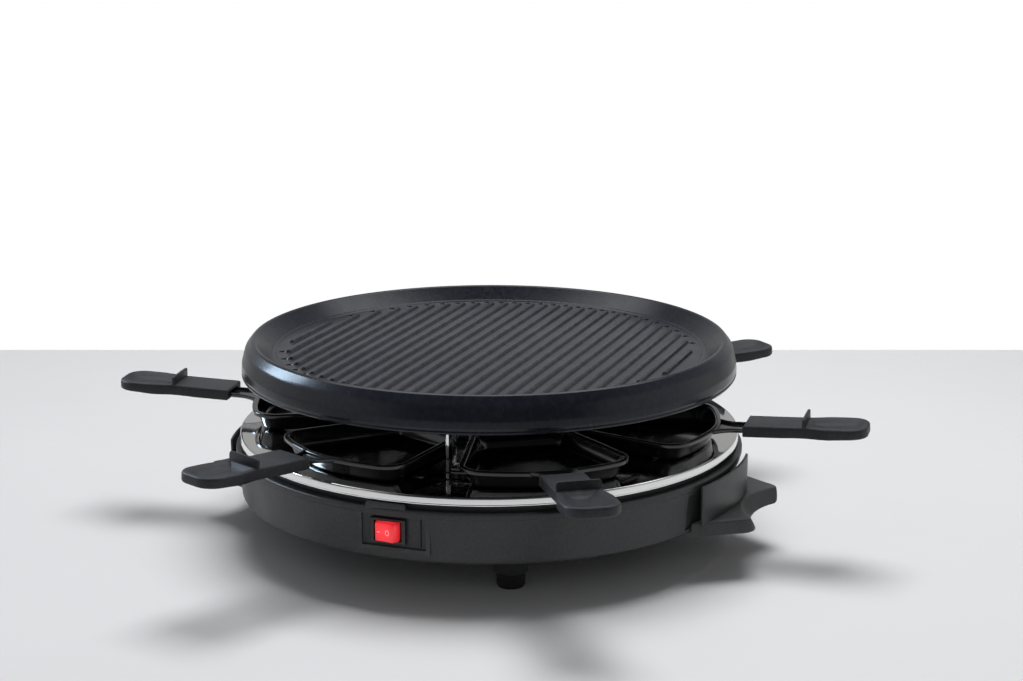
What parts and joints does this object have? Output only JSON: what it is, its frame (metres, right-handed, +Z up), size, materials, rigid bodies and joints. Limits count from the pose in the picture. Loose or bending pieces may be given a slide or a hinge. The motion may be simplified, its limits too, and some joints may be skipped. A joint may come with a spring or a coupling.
{
  "type": "raclette grill",
  "caption": "Round tabletop raclette grill: ribbed cast plate on posts over a heating loop, wedge-shaped pans with handles under it, and a round base with a rocker switch.",
  "frame": {"origin": "on the table, on the round grill's vertical axis, which is the centre of the whole object's box to within 3 mm", "axes": "+Z up, -Y towards the front with the switch, +X to the right seen from the front"},
  "size_m": [0.4673, 0.4357, 0.126],
  "materials": {
    "cast_coating": "cast aluminium with a near-black non-stick coating, semi-gloss",
    "element_steel": "dark oxidised tube",
    "polished_steel": "polished sheet steel",
    "bare_steel": "plain steel",
    "base_plastic": "charcoal, fine matte texture",
    "handle_plastic": "black heat-proof plastic, matte",
    "pan_coating": "black glossy non-stick coating",
    "foot_rubber": "black rubber",
    "lit_red": "translucent red, lit from behind",
    "switch_black": "black, smooth",
    "ceramic": "cream ceramic"
  },
  "bodies": {
    "base": {"base_housing": "base_plastic", "deck_plate": "base_plastic", "bottom_cover": "base_plastic", "rubber_foot_1": "foot_rubber", "rubber_foot_2": "foot_rubber", "rubber_foot_3": "foot_rubber", "cover_screw_1": "bare_steel", "cover_screw_2": "bare_steel", "cover_screw_3": "bare_steel", "carry_handle_right": "base_plastic", "carry_handle_left": "base_plastic", "carry_screw_right_front": "bare_steel", "carry_screw_right_back": "bare_steel", "carry_screw_left_front": "bare_steel", "carry_screw_left_back": "bare_steel", "reflector_plate": "polished_steel", "heating_element": "element_steel", "post_1": "polished_steel", "post_2": "polished_steel", "terminal_post": "polished_steel", "post_screw_1": "bare_steel", "post_screw_2": "bare_steel", "post_screw_3": "bare_steel", "switch_frame": "switch_black", "indicator_lamp": "lit_red", "thermal_cutout": "bare_steel", "terminal_block": "ceramic", "cord_inlet_bush": "switch_black"},
    "plate": {"grill_plate": "cast_coating"},
    "rocker": {"switch_rocker": "lit_red"},
    "pan_unit_1": {"pan_1": "pan_coating", "pan_handle_1": "handle_plastic", "handle_rivet_1": "bare_steel"},
    "pan_unit_2": {"pan_2": "pan_coating", "pan_handle_2": "handle_plastic", "handle_rivet_2": "bare_steel"},
    "pan_unit_3": {"pan_3": "pan_coating", "pan_handle_3": "handle_plastic", "handle_rivet_3": "bare_steel"},
    "pan_unit_4": {"pan_4": "pan_coating", "pan_handle_4": "handle_plastic", "handle_rivet_4": "bare_steel"},
    "pan_unit_5": {"pan_5": "pan_coating", "pan_handle_5": "handle_plastic", "handle_rivet_5": "bare_steel"},
    "pan_unit_6": {"pan_6": "pan_coating", "pan_handle_6": "handle_plastic", "handle_rivet_6": "bare_steel"}
  },
  "joints": [
    {"name": "grill_plate_lift", "type": "slide", "parent": "base", "child": "plate", "axis": [0, 0, 1], "range_m": [0, 0.12]},
    {"name": "switch_rocker_turn", "type": "hinge", "parent": "base", "child": "rocker", "pos_m": [-0.0047, -0.1517, 0.0476], "axis": [0, 0, 1], "range_deg": [0, 20]},
    {"name": "pan_1_slide", "type": "slide", "parent": "base", "child": "pan_unit_1", "axis": [0.5388, -0.8425, 0], "range_m": [0, 0.12]},
    {"name": "pan_2_slide", "type": "slide", "parent": "base", "child": "pan_unit_2", "axis": [0.9978, 0.0663, 0], "range_m": [0, 0.12]},
    {"name": "pan_3_slide", "type": "slide", "parent": "base", "child": "pan_unit_3", "axis": [0.6884, 0.7254, 0], "range_m": [0, 0.12]},
    {"name": "pan_4_slide", "type": "slide", "parent": "base", "child": "pan_unit_4", "axis": [-0.3987, 0.9171, 0], "range_m": [0, 0.12]},
    {"name": "pan_5_slide", "type": "slide", "parent": "base", "child": "pan_unit_5", "axis": [-0.9903, -0.1392, 0], "range_m": [0, 0.12]},
    {"name": "pan_6_slide", "type": "slide", "parent": "base", "child": "pan_unit_6", "axis": [-0.4305, -0.9026, 0], "range_m": [0, 0.12]}
  ]
}
